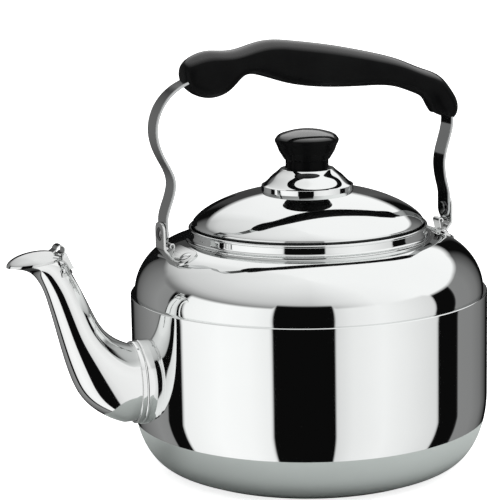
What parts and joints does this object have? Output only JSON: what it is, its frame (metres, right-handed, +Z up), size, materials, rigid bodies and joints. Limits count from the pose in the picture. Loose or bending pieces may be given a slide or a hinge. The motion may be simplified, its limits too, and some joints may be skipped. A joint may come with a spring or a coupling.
{
  "type": "stovetop whistling kettle",
  "caption": "Polished steel stovetop kettle with a swinging bail handle, a domed lid with a knob, and a curved spout under a hinged whistle flap.",
  "frame": {"origin": "centre of the flat base, on the surface that the kettle stands on", "axes": "+Z up; the spout points along -X; +Y completes the right-handed frame; the upright handle lies in the XZ plane"},
  "size_m": [0.3024, 0.22, 0.2639],
  "materials": {
    "mirror_steel": "mirror-polished stainless steel",
    "spout_steel": "mirror-polished stainless steel, hand finished",
    "lid_steel": "mirror-polished stainless steel",
    "fitting_steel": "bright pressed stainless steel",
    "strap_steel": "bright stainless strip with fine lengthwise lines",
    "rivet_steel": "bright rivet steel",
    "base_steel": "magnetic stainless steel, circular brushed",
    "core_aluminium": "plain rolled aluminium",
    "black_phenolic": "moulded black heat-resistant plastic, semi-gloss",
    "knob_phenolic": "moulded black heat-resistant plastic, gloss",
    "brass": "turned brass",
    "screw_steel": "zinc-plated steel",
    "whistle_steel": "plain pressed stainless steel"
  },
  "bodies": {
    "vessel": {"lower_shell": "mirror_steel", "base_cap": "base_steel", "base_core": "core_aluminium", "shoulder_dome": "mirror_steel", "neck_ring": "mirror_steel", "spout": "spout_steel", "spout_collar": "spout_steel", "front_lug": "fitting_steel", "rear_lug": "fitting_steel", "lug_rivets": "rivet_steel", "front_pivot_rivet": "rivet_steel", "rear_pivot_rivet": "rivet_steel", "flap_saddle": "fitting_steel", "saddle_rivets": "rivet_steel", "flap_pin": "rivet_steel"},
    "bail": {"grip": "black_phenolic", "front_strap": "strap_steel", "rear_strap": "strap_steel", "grip_screws": "screw_steel"},
    "lid": {"lid_shell": "lid_steel", "lid_skirt": "fitting_steel", "knob_cap": "lid_steel", "knob": "knob_phenolic", "knob_insert": "brass", "knob_screw": "screw_steel", "knob_washer": "screw_steel"},
    "flap": {"whistle_flap": "fitting_steel", "whistle_plate": "whistle_steel", "whistle_cup": "whistle_steel"}
  },
  "joints": [
    {"name": "bail_swing", "type": "hinge", "parent": "vessel", "child": "bail", "pos_m": [0, 0, 0.1518], "axis": [1, 0, 0], "range_deg": [-85, 85]},
    {"name": "lid_lift", "type": "slide", "parent": "vessel", "child": "lid", "axis": [0, 0, 1], "range_m": [0, 0.022]},
    {"name": "flap_open", "type": "hinge", "parent": "vessel", "child": "flap", "pos_m": [-0.1586, 0, 0.1454], "axis": [0, 1, 0], "range_deg": [0, 95]}
  ]
}
